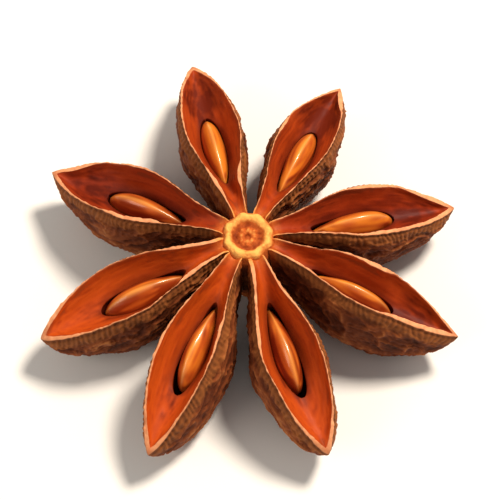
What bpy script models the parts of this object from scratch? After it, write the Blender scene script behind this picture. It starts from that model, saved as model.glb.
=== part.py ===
"""Star anise pod at life size.

Eight open, boat-shaped carpels stand round one short column and are joined to it as a single
solid. Each carpel holds one flattened seed on edge. The pod rests on the keels of its carpels
and on the broken end of its stalk.
"""

import math
from collections import namedtuple

import bmesh
import bpy
import numpy as np
from mathutils import Euler, Vector

MM = 0.001

# Heights above the surface that the pod rests on.
HUB_HEIGHT = 9.2 * MM  # top of the column, where the rims start
TIP_HEIGHT = 3.9 * MM  # beak of each carpel
KEEL_ROOT_HEIGHT = 3.2 * MM  # underside of a carpel where it leaves the stalk
KEEL_WEAR = 0.36 * MM  # how much of each keel its flat resting spot takes off

# One carpel, from the axis at 0 to its beak at 1.
ROOT_WIDTH = 0.24  # rim width at the column, as a share of the widest
WIDEST = 0.57  # where the rims are furthest apart
LOWEST = 0.62  # where the keel starts to rise to the beak
RIM_DROP_POWER = 2.9  # the rims run level from the column, then bend down
FLARE_POWER = 1.3
HOOK_START = 0.84  # where a hooked beak starts to turn up
KEEL_RISE = (2.2, 0.7)  # powers of the curve from the keel up to the beak
BULGE = 1.2 * MM  # how far the curve of the walls is pulled out past the rims
BEAK_BULGE = 0.25  # share of that pull left near the beak
BULGE_END = 0.9  # where the rest of it starts to die away
KEEL_BREADTH = 0.72  # blunt keel, as a share of the wall's width
WALL_SWELL_DEPTH = 0.36  # where the walls swell most, as a share of the depth
KEEL_ROUND_DEPTH = 0.97
ROLL_REACHED = 0.5  # where a carpel has turned by the whole of its roll
LUMP = 0.1 * MM  # unevenness of the walls
LUMP_WAVES = 3.5  # swellings along a carpel
LUMP_SLANT = 4.0  # radians that each swelling lags behind from a rim to the keel

# Inside of a carpel: two lips slope from the rims to a groove, and the seed's pocket opens in it.
RIM_THICKNESS = 0.42 * MM
THICKEST_RIM = 0.55  # of the rim's half-width, where the beak gets thin
GROOVE_DEPTH = 2.3 * MM
GROOVE_ROOT = 0.45  # share of that depth at the column
GROOVE_DEEPEST = 0.6  # where the groove starts to get shallower towards the beak
GROOVE_FADE = 1.8  # power of that
GROOVE_END = 0.955  # where the groove closes, behind the beak
END_ROUNDING = 14  # power of the curve that closes it
LIP_SHARE = 0.4  # of the way from a rim to the middle, up to the pocket's edge
LIP_SLOPE = ((0.85, 0.45), (0.45, 0.95))  # inner points of the lip's curve: breadth, depth
POCKET_SLOPE = ((1.15, 0.45), (1.05, 1.0))  # the same for the pocket's wall
POCKET_CLEARANCE = 0.4 * MM  # beside and under the seed
POCKET_REACH = 0.55 * MM  # past each end of the seed
POCKET_TAPER = 0.3  # how much narrower the pocket's end at the column is
POCKET_END = 0.35  # power that rounds off the pocket's floor towards its ends
ROOT_START = 0.075  # where a carpel starts, inside the column

# Column: radius and height down its side, from the dimple in its top to the stalk's broken end.
COLUMN_PROFILE = (
    (0.0 * MM, HUB_HEIGHT - 0.6 * MM),
    (0.25 * MM, HUB_HEIGHT - 0.55 * MM),
    (0.5 * MM, HUB_HEIGHT - 0.35 * MM),
    (0.8 * MM, HUB_HEIGHT - 0.42 * MM),
    (1.2 * MM, HUB_HEIGHT + 0.05 * MM),
    (1.55 * MM, HUB_HEIGHT + 0.1 * MM),
    (1.8 * MM, HUB_HEIGHT - 0.15 * MM),
    (2.05 * MM, HUB_HEIGHT - 0.8 * MM),
    (2.35 * MM, HUB_HEIGHT - 2.4 * MM),
    (2.35 * MM, 4.2 * MM),
    (2.0 * MM, 2.9 * MM),
    (1.55 * MM, 1.9 * MM),
    (1.3 * MM, 1.0 * MM),
    (1.2 * MM, 0.0 * MM),
    (0.0 * MM, 0.0 * MM),
)
COLUMN_SIDES = 24

# Seeds, each lying on edge along its carpel.
SEED_LENGTH = 7.2 * MM
SEED_HEIGHT = 4.6 * MM
SEED_FILL = 0.6  # thickness, as a share of the width between the rims
SEED_PLACE = 0.49  # of the carpel's length
SEED_SINK = 1.1 * MM  # from the rims down to the seed's upper edge
SEED_TAPER = 0.48  # how much narrower the end at the column is
SEED_RINGS = 9
SEED_SEGMENTS = 12

# Facets of one carpel.
STATIONS = 24
OUTER_POINTS = 10  # an even number leaves a flat strip along the keel
HOLLOW_POINTS = 11
BEAK_CROWDING = 0.6  # how much closer together the stations are at the beak

GOLDEN_ANGLE = math.radians(137.5)

# Direction in degrees, length, rim width, roll of the opening in degrees, sideways bow,
# power of the beak's outline (under 1 blunt, over 1 drawn out to a point) and hook of the beak.
Carpel = namedtuple("Carpel", "direction length width roll bow beak hook")
CARPELS = (
    Carpel(15.5, 17.1 * MM, 4.5 * MM, 0, 0.05 * MM, 0.85, 0.5 * MM),
    Carpel(64.0, 17.3 * MM, 4.3 * MM, -3, -0.2 * MM, 0.93, 0.2 * MM),
    Carpel(104.6, 18.1 * MM, 4.3 * MM, 0, 0.3 * MM, 0.76, 0.3 * MM),
    Carpel(154.1, 17.5 * MM, 4.7 * MM, 0, 0.25 * MM, 0.85, 0.7 * MM),
    Carpel(202.0, 17.4 * MM, 4.8 * MM, -3, 0.15 * MM, 0.7, 0.1 * MM),
    Carpel(244.6, 17.7 * MM, 4.5 * MM, -9, -0.4 * MM, 0.78, 0.0 * MM),
    Carpel(291.1, 17.1 * MM, 4.6 * MM, 4, -0.2 * MM, 0.76, 0.0 * MM),
    Carpel(338.2, 17.6 * MM, 4.0 * MM, 9, 0.1 * MM, 0.98, 0.6 * MM),
)

HUSK_COLOUR = "8A4420"
SEED_COLOUR = "B5601A"
HUSK_ROUGHNESS = 0.62
SEED_ROUGHNESS = 0.16


def smooth_step(share):
    held = np.clip(share, 0.0, 1.0)
    return held * held * (3.0 - 2.0 * held)


def past(share, start):
    """How far share is on the way from start to 1."""
    return np.clip((share - start) / (1.0 - start), 0.0, 1.0)


def linear_colour(hex_code):
    """An sRGB hex colour as linear RGBA."""
    channels = (int(hex_code[place : place + 2], 16) / 255 for place in (0, 2, 4))
    linear = [c / 12.92 if c <= 0.04045 else ((c + 0.055) / 1.055) ** 2.4 for c in channels]
    return (*linear, 1.0)


def plain_material(name, hex_code, roughness):
    material = bpy.data.materials.new(name)
    material.use_nodes = True
    shader = material.node_tree.nodes["Principled BSDF"]
    shader.inputs["Base Color"].default_value = linear_colour(hex_code)
    shader.inputs["Roughness"].default_value = roughness
    shader.inputs["Metallic"].default_value = 0.0
    return material


def clear_scene():
    for old in list(bpy.data.objects):
        bpy.data.objects.remove(old, do_unlink=True)


def new_collection(name):
    collection = bpy.data.collections.new(name)
    bpy.context.scene.collection.children.link(collection)
    return collection


def rim_half_width(carpel, share):
    """Half the distance between the rims' outer edges: a slow flare, then the beak's outline."""
    flare = smooth_step((share / WIDEST) ** FLARE_POWER)
    beak = (1.0 - past(share, WIDEST) ** 2) ** carpel.beak
    return 0.5 * carpel.width * (ROOT_WIDTH + (1.0 - ROOT_WIDTH) * flare) * beak


def rim_height(carpel, share):
    """Level from the column, then bending down to the beak, which may hook up at its end."""
    drop = (HUB_HEIGHT - TIP_HEIGHT) * share**RIM_DROP_POWER
    return HUB_HEIGHT - drop + carpel.hook * past(share, HOOK_START) ** 2


def keel_height(carpel, share):
    """Down from the stalk to the resting spot, then along a blunt bow up to the beak."""
    root = KEEL_ROOT_HEIGHT * (1.0 - smooth_step(share / LOWEST))
    turn, steepness = KEEL_RISE
    bow = 1.0 - (1.0 - past(share, LOWEST) ** turn) ** steepness
    return root - KEEL_WEAR + (rim_height(carpel, 1.0) + KEEL_WEAR) * bow


def cubic(start, first, second, end, share):
    """The cubic curve through start and end that first and second pull towards them."""
    left = 1.0 - share
    pulled = 3.0 * first * left**2 * share + 3.0 * second * left * share**2
    return start * left**3 + pulled + end * share**3


def boat_section(half_width, swell, depth, across):
    """Sideways and upwards from the rims' level, from one rim (-1) round the keel (0) to the
    other rim (1)."""
    down = 1.0 - np.abs(across)
    wall = half_width + swell
    width = cubic(half_width, wall, KEEL_BREADTH * wall, 0.0, down)
    fall = depth * cubic(0.0, WALL_SWELL_DEPTH, KEEL_ROUND_DEPTH, 1.0, down)
    return np.sign(across) * width, -fall


def placed(carpel, share, sideways, upwards):
    """Turns points of a carpel's sections into points of the pod: rolled, bowed and aimed."""
    roll = math.radians(carpel.roll) * smooth_step(share / ROLL_REACHED)
    aside = sideways * np.cos(roll) + upwards * np.sin(roll)
    aside = aside + carpel.bow * np.sin(math.pi * share)
    above = upwards * np.cos(roll) - sideways * np.sin(roll)
    direction = math.radians(carpel.direction)
    outward = share * carpel.length
    return np.stack(
        (
            outward * math.cos(direction) - aside * math.sin(direction),
            outward * math.sin(direction) + aside * math.cos(direction),
            rim_height(carpel, share) + above,
        ),
        axis=-1,
    )


def outer_points(carpel, share, across, phase):
    """The outside of a carpel, with its walls slightly lumpy and its keel worn flat."""
    half_width = rim_half_width(carpel, share)
    depth = rim_height(carpel, share) - keel_height(carpel, share)
    swell = BULGE * smooth_step(share / WIDEST) * (1.0 - (1.0 - BEAK_BULGE) * past(share, WIDEST))
    swell = swell * (1.0 - past(share, BULGE_END) ** 2)
    sideways, upwards = boat_section(half_width, swell, depth, across)
    lump = np.sin(2 * math.pi * LUMP_WAVES * share + LUMP_SLANT * across + phase)
    lump = LUMP * lump * np.sin(math.pi * share) * (1.0 - across**2)
    points = placed(carpel, share, sideways + lump * np.sign(across), upwards)
    points[..., 2] = np.maximum(points[..., 2], 0.0)
    return points


def lip_and_pocket(half_width, groove, pocket_width, pocket_depth, across):
    """From one rim (-1) down its lip, through the pocket (0) and up the other lip (1)."""
    down = 1.0 - np.abs(across)
    lip = np.clip(down / LIP_SHARE, 0.0, 1.0)
    drop = np.clip((down - LIP_SHARE) / (1.0 - LIP_SHARE), 0.0, 1.0)
    spare = half_width - pocket_width
    (upper, upper_fall), (lower, lower_fall) = LIP_SLOPE
    width = cubic(
        half_width, pocket_width + upper * spare, pocket_width + lower * spare, pocket_width, lip
    )
    fall = groove * cubic(0.0, upper_fall, lower_fall, 1.0, lip)
    (upper, upper_fall), (lower, lower_fall) = POCKET_SLOPE
    width = np.where(drop > 0.0, pocket_width * cubic(1.0, upper, lower, 0.0, drop), width)
    fall = fall + pocket_depth * cubic(0.0, upper_fall, lower_fall, 1.0, drop)
    return np.sign(across) * width, -fall


def narrowing(along, taper):
    """Full width at the outer end, 1, and narrower by taper at the end by the column, -1."""
    return 1.0 - taper * (0.5 - 0.5 * along) ** 2


def hollow_points(carpel, share, across, progress):
    """The inside of a carpel: a groove between the lips, with a pocket in it round the seed."""
    outer_half = rim_half_width(carpel, share)
    half_width = outer_half - np.minimum(RIM_THICKNESS, THICKEST_RIM * outer_half)
    root = GROOVE_ROOT + (1.0 - GROOVE_ROOT) * smooth_step(share / SEED_PLACE)
    groove = GROOVE_DEPTH * root * (1.0 - past(share, GROOVE_DEEPEST) ** GROOVE_FADE)
    reach = 0.5 * SEED_LENGTH + POCKET_REACH
    along = np.clip((share - SEED_PLACE) * carpel.length / reach, -1.0, 1.0)
    oval = np.sqrt(1.0 - along**2) * narrowing(along, POCKET_TAPER)
    pocket_width = (0.5 * seed_thickness(carpel) + POCKET_CLEARANCE) * oval
    pocket_width = np.minimum(pocket_width, half_width)
    bottom = SEED_SINK + 0.5 * SEED_HEIGHT * (1.0 + oval) + POCKET_CLEARANCE
    pocket_depth = (bottom - groove) * oval**POCKET_END
    end = np.sqrt(1.0 - progress**END_ROUNDING)
    sideways, upwards = lip_and_pocket(
        half_width * end, groove * end, pocket_width, pocket_depth, across
    )
    return placed(carpel, share, sideways, upwards)


def lofted_mesh(name, grid):
    """A closed mesh from rings of points: a flat face on the first, the last shrunk to a line."""
    stations, around = grid.shape[:2]
    ring = np.arange(around)
    following = np.roll(ring, -1)
    faces = [ring.tolist()]
    for station in range(stations - 1):
        low, high = station * around, (station + 1) * around
        faces += np.stack((low + ring, low + following, high + following, high + ring), 1).tolist()
    mesh = bpy.data.meshes.new(name)
    mesh.from_pydata(grid.reshape(-1, 3).tolist(), [], faces)
    shell = bmesh.new()
    shell.from_mesh(mesh)
    bmesh.ops.remove_doubles(shell, verts=shell.verts, dist=0.001 * MM)
    bmesh.ops.recalc_face_normals(shell, faces=shell.faces)
    shell.to_mesh(mesh)
    shell.free()
    mesh.shade_smooth()
    return mesh


def carpel_mesh(index, carpel):
    """One thick-walled boat: its outside and its hollow, joined along the two rims."""
    steps = np.linspace(0.0, 1.0, STATIONS)[:, None]
    progress = steps + BEAK_CROWDING * (np.sin(0.5 * math.pi * steps) - steps)
    outside = outer_points(
        carpel,
        ROOT_START + (1.0 - ROOT_START) * progress,
        np.linspace(-1.0, 1.0, OUTER_POINTS)[None, :],
        index * GOLDEN_ANGLE,
    )
    inside = hollow_points(
        carpel,
        ROOT_START + (GROOVE_END - ROOT_START) * progress,
        np.linspace(1.0, -1.0, HOLLOW_POINTS)[None, :],
        progress,
    )
    return lofted_mesh(f"carpel_{index}", np.concatenate((outside, inside), axis=1))


def make_carpels(collection, material):
    """The eight carpels as helpers, which the pod takes up in one union."""
    for index, carpel in enumerate(CARPELS, start=1):
        mesh = carpel_mesh(index, carpel)
        mesh.materials.append(material)
        helper = bpy.data.objects.new(mesh.name, mesh)
        helper.hide_render = True
        helper.display_type = "WIRE"
        collection.objects.link(helper)


def make_pod(collection, carpels, material):
    """The column turned round the axis, with the carpels joined on."""
    mesh = bpy.data.meshes.new("pod")
    points = [(radius, 0.0, height) for radius, height in COLUMN_PROFILE]
    edges = [(start, start + 1) for start in range(len(points) - 1)]
    mesh.from_pydata(points, edges, [])
    mesh.materials.append(material)
    pod = bpy.data.objects.new("pod", mesh)
    collection.objects.link(pod)
    turned = pod.modifiers.new("turned_column", "SCREW")
    turned.steps = COLUMN_SIDES
    turned.render_steps = COLUMN_SIDES
    turned.use_merge_vertices = True
    turned.merge_threshold = 0.001 * MM
    turned.use_smooth_shade = True
    union = pod.modifiers.new("carpels", "BOOLEAN")
    union.operation = "UNION"
    union.operand_type = "COLLECTION"
    union.collection = carpels
    union.solver = "EXACT"
    return pod


def seed_thickness(carpel):
    return SEED_FILL * (carpel.width - 2.0 * RIM_THICKNESS)


def seed_mesh(name, thickness):
    """A flattened ball lying along +X on edge, narrower towards the column."""
    ball = bmesh.new()
    bmesh.ops.create_uvsphere(ball, u_segments=SEED_SEGMENTS, v_segments=SEED_RINGS, radius=1.0)
    for vertex in ball.verts:
        along, side, up = vertex.co.z, vertex.co.x, vertex.co.y
        share = narrowing(along, SEED_TAPER)
        vertex.co = (
            0.5 * SEED_LENGTH * along,
            0.5 * thickness * side * share,
            0.5 * SEED_HEIGHT * up * share,
        )
    mesh = bpy.data.meshes.new(name)
    ball.to_mesh(mesh)
    ball.free()
    mesh.shade_smooth()
    return mesh


def make_seeds(collection, material):
    """One seed in each hollow, tipped to follow the rims and rolled with the carpel."""
    reach = 0.5 * SEED_LENGTH
    for index, carpel in enumerate(CARPELS, start=1):
        mesh = seed_mesh(f"seed_{index}", seed_thickness(carpel))
        mesh.materials.append(material)
        half_span = reach / carpel.length
        ends = np.array((SEED_PLACE - half_span, SEED_PLACE + half_span))
        fall = -np.diff(rim_height(carpel, ends))[0]
        sunk = -(SEED_SINK + 0.5 * SEED_HEIGHT)
        middle = placed(carpel, np.array(SEED_PLACE), np.array(0.0), np.array(sunk))
        seed = bpy.data.objects.new(mesh.name, mesh)
        seed.location = Vector(middle)
        seed.rotation_euler = Euler(
            (
                -math.radians(carpel.roll),
                math.atan2(fall, 2.0 * reach),
                math.radians(carpel.direction),
            ),
            "XYZ",
        )
        collection.objects.link(seed)


def main():
    clear_scene()
    collection = new_collection("star_anise_pod")
    helpers = new_collection("star_anise_carpels")
    husk = plain_material("dried_husk", HUSK_COLOUR, HUSK_ROUGHNESS)
    seed_coat = plain_material("seed_coat", SEED_COLOUR, SEED_ROUGHNESS)
    make_carpels(helpers, husk)
    make_pod(collection, helpers, husk)
    make_seeds(collection, seed_coat)


main()
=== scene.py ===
"""Star anise pod: the looks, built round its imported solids.

Every carpel, the column and every seed is a surface worked out on a grid of two parameters, from
the same sizes as the solids. It stands in for its solid in what is seen.
"""

import math
from collections import namedtuple
from functools import partial

import bmesh
import bpy
import numpy as np
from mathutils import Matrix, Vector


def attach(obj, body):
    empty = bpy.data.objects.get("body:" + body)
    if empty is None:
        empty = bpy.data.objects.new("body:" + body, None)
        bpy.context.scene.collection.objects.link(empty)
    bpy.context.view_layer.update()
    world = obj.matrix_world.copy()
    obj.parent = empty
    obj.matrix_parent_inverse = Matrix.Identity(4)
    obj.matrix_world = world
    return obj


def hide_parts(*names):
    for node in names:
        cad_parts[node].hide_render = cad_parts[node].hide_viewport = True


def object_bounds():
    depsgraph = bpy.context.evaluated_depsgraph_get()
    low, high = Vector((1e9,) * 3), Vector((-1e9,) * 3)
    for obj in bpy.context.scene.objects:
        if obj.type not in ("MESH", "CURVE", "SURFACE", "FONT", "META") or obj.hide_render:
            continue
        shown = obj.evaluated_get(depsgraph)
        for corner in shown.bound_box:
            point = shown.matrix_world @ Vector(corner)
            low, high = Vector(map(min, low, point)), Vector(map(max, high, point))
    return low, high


bl_info = {
    "name": "Star Anise Pod",
    "version": (1, 0, 0),
    "blender": (4, 5, 0),
    "location": "View3D > Sidebar > Star Anise",
    "description": "Builds a dried star anise pod: its carpels, column, seeds and stage",
    "category": "Add Mesh",
}

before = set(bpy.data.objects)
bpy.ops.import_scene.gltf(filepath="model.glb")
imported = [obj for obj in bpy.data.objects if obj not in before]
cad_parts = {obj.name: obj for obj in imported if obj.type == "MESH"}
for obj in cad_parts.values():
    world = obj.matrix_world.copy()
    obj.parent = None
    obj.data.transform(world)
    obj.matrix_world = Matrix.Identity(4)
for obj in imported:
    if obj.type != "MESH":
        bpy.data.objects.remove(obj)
CAD_BOX = [list(corner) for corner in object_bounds()]

MM = 0.001
TAU = math.tau

# Heights above the surface that the pod rests on.
HUB_HEIGHT = 9.2 * MM
TIP_HEIGHT = 3.9 * MM
KEEL_ROOT_HEIGHT = 3.2 * MM
KEEL_WEAR = 0.36 * MM

# One carpel, from the axis at 0 to its beak at 1. These are the values of the solids.
ROOT_WIDTH = 0.24
WIDEST = 0.57
LOWEST = 0.62
RIM_DROP_POWER = 2.9
FLARE_POWER = 1.3
HOOK_START = 0.84
KEEL_RISE = (2.2, 0.7)
BULGE = 1.2 * MM
BEAK_BULGE = 0.25
BULGE_END = 0.9
KEEL_BREADTH = 0.72
WALL_SWELL_DEPTH = 0.36
KEEL_ROUND_DEPTH = 0.97
ROLL_REACHED = 0.5
LUMP = 0.1 * MM
LUMP_WAVES = 3.5
LUMP_SLANT = 4.0
KEEL_JOIN = 0.12
GOLDEN_ANGLE = math.radians(137.5)

# Inside of a carpel. The rims are thinner than the solids' and the groove fits closer to the seed.
RIM_THICKNESS = 0.42 * MM
THICKEST_RIM = 0.55
GROOVE_DEPTH = 2.3 * MM
GROOVE_ROOT = 0.12
GROOVE_OPENING = (0.1, 0.3)
GROOVE_DEEPEST = 0.6
GROOVE_FADE = 1.8
GROOVE_END = 0.972
GROOVE_DIP = 0.8 * MM
END_ROUNDING = 14
LIP_SHARE = 0.4
LIP_BREADTH = (1.0, 0.87, 0.52, 0.0)
LIP_FALL = (0.0, 0.42, 1.0, 1.0)
POCKET_FIT = 0.86
POCKET_SLOPE = ((1.35, 0.4), (1.15, 1.0))
POCKET_CLEARANCE = 0.07 * MM
POCKET_REACH = -0.1 * MM
POCKET_SHIFT = 0.22 * MM
POCKET_TAPER = 0.46
POCKET_END = 0.2
MOST_UNDERCUT = 2.5
UNDER_SEED = 0.5 * MM
MOST_POCKET = 0.97
PAST_END_COUNTS = 0.5
ROOT_START = 0.075
ROOT_SINK = 0.4 * MM
ROOT_RISES = (1.5 * MM, 0.7 * MM)

# Seeds.
SEED_LENGTH = 7.2 * MM
SEED_HEIGHT = 4.6 * MM
SEED_FILL = 0.6
SEED_PLACE = 0.49
SEED_SINK = 1.1 * MM
SEED_TAPER = 0.48

# Direction in degrees, length, rim width, roll of the opening in degrees, sideways bow, power of
# the beak's outline and hook of the beak, as in the solids. Then how much painted light its
# inside gets, from the shaded lining to the bright one, how much painted shade darkens it towards
# the beak, how far the pocket runs on past the seed, and how light the seed is.
Carpel = namedtuple("Carpel", "direction length width roll bow beak hook tone gloom gap seed")
CARPELS = (
    Carpel(15.5, 17.1 * MM, 4.5 * MM, 0, 0.05 * MM, 0.85, 0.5 * MM, 0.1, 0.32, -0.1 * MM, 0.46),
    Carpel(64.0, 17.3 * MM, 4.3 * MM, -3, -0.2 * MM, 0.93, 0.2 * MM, 0.5, 0.6, -0.1 * MM, 0.43),
    Carpel(104.6, 18.1 * MM, 4.3 * MM, 0, 0.3 * MM, 0.76, 0.3 * MM, 0.55, 0.5, 0.0, 0.7),
    Carpel(154.1, 17.5 * MM, 4.7 * MM, 0, 0.25 * MM, 0.85, 0.7 * MM, 0.12, 0.3, 0.0, 0.15),
    Carpel(202.0, 17.4 * MM, 4.8 * MM, -3, 0.15 * MM, 0.7, 0.1 * MM, 0.95, 0.08, 0.1 * MM, 0.08),
    Carpel(244.6, 17.7 * MM, 4.5 * MM, -9, -0.4 * MM, 0.78, 0.0, 1.0, 0.15, 0.4 * MM, 0.33),
    Carpel(291.1, 17.1 * MM, 4.6 * MM, 4, -0.2 * MM, 0.76, 0.0, 0.9, 0.05, 0.4 * MM, 0.15),
    Carpel(338.2, 17.6 * MM, 4.0 * MM, 9, 0.1 * MM, 0.98, 0.6 * MM, 0.4, 0.4, -0.1 * MM, 0.35),
)

# Grids: how many rings and how many points in a ring, and how they crowd together.
CARPEL_ROWS = 250
OUTER_COLUMNS = 214
INNER_COLUMNS = 130
RIM_COLUMNS = 9
BEAK_CROWDING = 0.6
OUTER_CROWDING = 0.6
INNER_CROWDING = 0.5
POCKET_ROWS = 2.5
POCKET_ROWS_REACH = 0.02
FINE_STEPS = 4000
WELD = 0.0001 * MM
COLUMN_ROWS = 200
COLUMN_COLUMNS = 240
SEED_ROWS = 90
SEED_COLUMNS = 96
LIP_STEPS = 200
TINY = 1e-9
SHORTEST_NORMAL = 1e-15

# Patterns on a carpel: the size of a spot along and across it, the pattern's own number, and for
# noise its height in mm from lowest to highest, or for ridges how narrow they are.
RIM_SWELLS = (2.6 * MM, 3)
SLOW_WANDER = (1.8 * MM, 11, 0.14)
QUICK_WANDER = (0.5 * MM, 12, 0.06)
NICKS = (0.8 * MM, 13)
SLOW_SWAY = (2.4 * MM, 14, 0.2)
QUICK_SWAY = (0.6 * MM, 15, 0.06)
MEANDER = (1.2 * MM, 0.5 * MM, 20)
WRINKLES = ((1.5 * MM, 0.75 * MM, 0.75 * MM), 30, 3.0)
FINE_WRINKLES = ((0.6 * MM, 0.34 * MM, 0.34 * MM), 31, 2.0)
LUMPS = ((3.0 * MM, 1.8 * MM, 1.8 * MM), 32, 0.2)
PITS = (0.26 * MM, 33, 0.08)
RIDGE_WAVER = (1.1 * MM, 34)
GRAIN = ((2.2 * MM, 0.22 * MM, 0.22 * MM), 35, 1.0)
SOFT_SWELLS = ((2.4 * MM, 0.9 * MM, 0.9 * MM), 36, 1.0)
MOTTLE = ((1.0 * MM, 0.5 * MM, 0.5 * MM), 37, 1.0)
CHIPS = ((0.35 * MM, 0.5 * MM, 0.5 * MM), 38, 2.0)
STAINS = (1.3 * MM, 40)
TEARS = (0.3 * MM, 41)

# How far apart in the patterns, in mm, the two sides and the carpels are, so that none repeats.
SWELL_STEPS = (8.0, 11.0)
EDGE_STEPS = (9.0, 13.0)
HUSK_STEPS = (31.0, 17.0, 23.0)
SEED_STEP = 19.0

# Rims: how steeply the swells and nicks set in, how thick the rims are as shares of their usual
# thickness, and how far from them the wear reaches. Depths are in mm.
SWELL_ONSET = (2.2, 1.1)
RIM_RANGE = (0.8, 2.2)
RIM_CROWN = 0.3
NICK_ONSET = (6.0, 4.6)
NICK_DEPTH = 0.09
WEAR_REACH = 0.5 * MM
SWAY_WIDTH = 1.0 * MM
CHIP_DEPTH = 0.05
CHIP_REACH = 0.12 * MM

# Outside, from the rim down: a ledge, a band of cross-ridges, then wrinkles. Heights are in mm.
LEDGE_DEPTH = 0.08
LEDGE = (0.28 * MM, 0.14 * MM)
BAND_START = 0.25 * MM
BAND_END = (0.9 * MM, 0.7 * MM)
RIDGE_HEIGHT = 0.07
RIDGE_NARROWNESS = 1.3
RIDGE_SHIFT = 1.6
WRINKLE_START = (0.5 * MM, 1.0 * MM)
WRINKLE_LEVEL = 0.35
FINE_HEIGHT = 0.1
FINE_LEVEL = 0.4
FULL_RELIEF_WIDTH = 0.9 * MM

# Inside: heights in mm of its grain, soft swells and mottle, which start away from the rims.
LINING_HEIGHTS = (0.03, 0.09, 0.04)
LINING_START = 0.6 * MM

# Colour of a carpel: how far each mark reaches, and how strongly each pattern shows in it.
# The pocket's mark is painted shade round and under the seed, and the depth below the rim, the
# darkening towards the beak and the outside's relief set painted shade too.
POCKET_EDGE = (0.75, 0.4 * MM)
RIM_LINE = 0.05 * MM
RIM_STAINS = (0.55, 0.4, 0.5)
BEAK_PALES = (0.5, 0.95)
GRAIN_SHOWS = (0.9, 0.7)
ROOT_RING = (0.4, 0.3, 0.06 * MM)
DEEPEST = 5.0 * MM
GLOOM_START = (0.6, 0.2)
RELIEF_SHOWS = 2.6
HUB_END = (1.9 * MM, 1.1 * MM)

# What a point of the husk and of a seed is marked with for its material.
HUSK_MASKS = "inside rim fall relief stitch tone hub pocket grain ring".split()
SEED_MASKS = "high ridge streak tone".split()


def smooth_step(share):
    """Eases from 0 to 1 along with share: three times its square less twice its cube."""
    held = np.clip(share, 0.0, 1.0)
    return held * held * (3.0 - 2.0 * held)


def onset(value, start, length):
    """Eases from 0 at start to 1 over this length."""
    return smooth_step((value - start) / length)


def past(share, start):
    """How far share is on the way from start to 1."""
    return np.clip((share - start) / (1.0 - start), 0.0, 1.0)


def cubic(start, first, second, end, share):
    """The cubic curve through start and end that first and second pull towards them."""
    left = 1.0 - share
    pulled = 3.0 * first * left**2 * share + 3.0 * second * left * share**2
    return start * left**3 + pulled + end * share**3


def bell(distance, width):
    """1 at no distance, falling to nothing over a few widths, as e to minus their square."""
    return np.exp(-((distance / width) ** 2))


# Large odd numbers that mix the bits of a lattice cell.
CELL_KEYS = np.array((73856093, 19349663, 83492791), np.int64)
SEED_KEY = 2654435761
MIX_KEY = 1274126177
LOW_BITS = 0xFFFF


def cell_value(cell, seed):
    """A fixed number from 0 to 1 for each whole-number cell, by mixing its bits."""
    key = (cell * CELL_KEYS).sum(axis=-1) + seed * SEED_KEY
    key = (key ^ (key >> 13)) * MIX_KEY
    key = key ^ (key >> 16)
    return (key & LOW_BITS) / LOW_BITS


def noise(points, size, seed):
    """Smooth noise from 0 to 1: a fixed number at each corner of a lattice of boxes of this size,
    eased from corner to corner."""
    scaled = points / np.asarray(size)
    corner = np.floor(scaled).astype(np.int64)
    ease = smooth_step(scaled - corner)
    total = np.zeros(scaled.shape[:-1])
    for offset in np.ndindex(2, 2, 2):
        weight = np.prod(np.where(offset, ease, 1.0 - ease), axis=-1)
        total += weight * cell_value(corner + np.array(offset), seed)
    return total


def swing(points, size, seed, height):
    """Noise as a swing of this height in all, half of it either way."""
    return (noise(points, size, seed) - 0.5) * height


def ridges(points, size, seed, sharpness):
    """Narrow ridges, from 0 to 1, along the lines where the noise passes one half."""
    return (1.0 - np.abs(2.0 * noise(points, size, seed) - 1.0)) ** sharpness


def warped(points, size, reach, seed):
    """Points pushed about by up to reach, so that what is drawn on them meanders."""
    push = [noise(points, size, seed + axis) - 0.5 for axis in range(3)]
    return points + 2.0 * reach * np.stack(push, axis=-1)


def grid_normals(grid):
    """Unit normals of a grid of rings: the way round crossed with the way along."""
    around = np.roll(grid, -1, axis=1) - np.roll(grid, 1, axis=1)
    normal = np.cross(around, np.gradient(grid, axis=0))
    length = np.linalg.norm(normal, axis=-1, keepdims=True)
    return normal / np.maximum(length, SHORTEST_NORMAL)


def closed_mesh(name, grid, attributes):
    """A mesh through a grid of rings, welded where rings shrink to a point or a line, with a flat
    face on the first ring if that one is open."""
    rows, columns = grid.shape[:2]
    index = np.arange(rows * columns).reshape(rows, columns)
    following = np.roll(index, -1, axis=1)
    corners = np.stack((index[:-1], following[:-1], following[1:], index[1:]), axis=-1)
    loops = corners.reshape(-1)
    totals = np.full(corners.shape[0] * columns, 4)
    if np.ptp(grid[0], axis=0).max() > WELD:
        loops = np.concatenate((loops, index[0, ::-1]))
        totals = np.append(totals, columns)
    mesh = bpy.data.meshes.new(name)
    mesh.vertices.add(rows * columns)
    mesh.vertices.foreach_set("co", grid.astype(np.float32).ravel())
    mesh.loops.add(len(loops))
    mesh.loops.foreach_set("vertex_index", loops.astype(np.int32))
    mesh.polygons.add(len(totals))
    starts = np.concatenate(((0,), np.cumsum(totals)[:-1]))
    mesh.polygons.foreach_set("loop_start", starts.astype(np.int32))
    mesh.update(calc_edges=True)
    for label, values in attributes.items():
        layer = mesh.attributes.new(label, "FLOAT", "POINT")
        values = np.broadcast_to(values, (rows, columns)).astype(np.float32)
        layer.data.foreach_set("value", values.ravel())
    shell = bmesh.new()
    shell.from_mesh(mesh)
    bmesh.ops.remove_doubles(shell, verts=shell.verts, dist=WELD)
    shell.to_mesh(mesh)
    shell.free()
    mesh.shade_smooth()
    return mesh


def rim_half_width(carpel, share):
    """Half the distance between the rims' outer edges: a slow flare, then the beak's outline."""
    flare = smooth_step((share / WIDEST) ** FLARE_POWER)
    beak = (1.0 - past(share, WIDEST) ** 2) ** carpel.beak
    return 0.5 * carpel.width * (ROOT_WIDTH + (1.0 - ROOT_WIDTH) * flare) * beak


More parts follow.
